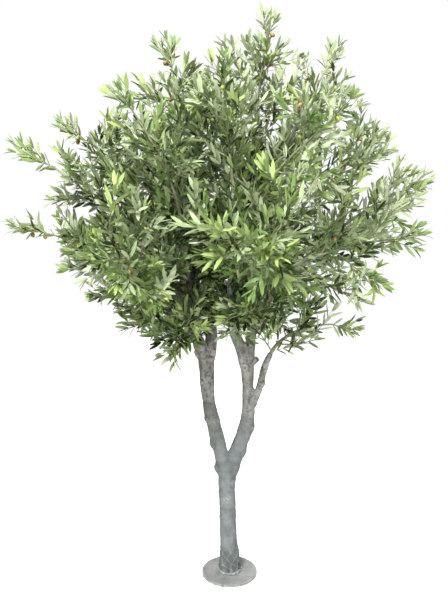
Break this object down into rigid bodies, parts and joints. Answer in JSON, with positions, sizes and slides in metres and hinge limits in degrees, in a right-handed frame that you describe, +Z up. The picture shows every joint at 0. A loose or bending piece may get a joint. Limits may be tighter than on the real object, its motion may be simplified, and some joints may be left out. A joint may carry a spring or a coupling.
{
  "type": "artificial olive tree",
  "caption": "Artificial olive tree: a smooth grey trunk on a round floor plate forks into boughs that carry a full rounded crown of leafy twigs. Stands by its own weight.",
  "frame": {"origin": "centre of the floor plate's flat underside", "axes": "+Z up the trunk, +X to the tree's right as displayed, -Y its front"},
  "size_m": [1.7912, 1.6722, 2.4105],
  "materials": {
    "bark": "matt, moulded bark relief",
    "foliage": "satin printed cloth",
    "plate": "matt grey paint, slightly scuffed"
  },
  "bodies": {
    "root": {"back_left_high_branch": "bark", "back_left_high_foliage": "foliage", "back_left_low_branch": "bark", "back_left_low_foliage": "foliage", "back_left_mid_branch": "bark", "back_left_mid_foliage": "foliage", "back_mid_branch": "bark", "back_mid_foliage": "foliage", "back_right_high_branch": "bark", "back_right_high_foliage": "foliage", "back_right_low_branch": "bark", "back_right_low_foliage": "foliage", "back_right_mid_branch": "bark", "back_right_mid_foliage": "foliage", "crown_top_foliage": "foliage", "foot_collar": "bark", "front_left_high_foliage": "foliage", "front_left_mid_branch": "bark", "front_left_mid_foliage": "foliage", "front_low_branch": "bark", "front_low_foliage": "foliage", "front_mid_branch": "bark", "front_mid_foliage": "foliage", "front_right_high_foliage": "foliage", "front_right_low_branch": "bark", "front_right_low_foliage": "foliage", "front_right_mid_branch": "bark", "front_right_mid_foliage": "foliage", "left_bough": "bark", "left_high_branch": "bark", "left_high_foliage": "foliage", "left_inner_limb": "bark", "left_low_branch": "bark", "left_low_foliage": "foliage", "left_mid_branch": "bark", "left_mid_foliage": "foliage", "left_outer_limb": "bark", "left_spread_branch": "bark", "left_spread_foliage": "foliage", "plate": "plate", "pruned_stub": "bark", "right_bough": "bark", "right_high_branch": "bark", "right_high_foliage": "foliage", "right_inner_limb": "bark", "right_low_foliage": "foliage", "right_mid_branch": "bark", "right_mid_foliage": "foliage", "right_outer_limb": "bark", "side_limb": "bark", "top_back_foliage": "foliage", "top_front_branch": "bark", "top_front_foliage": "foliage", "top_left_branch": "bark", "top_left_foliage": "foliage", "top_right_branch": "bark", "top_right_foliage": "foliage", "trunk": "bark"}
  },
  "joints": []
}
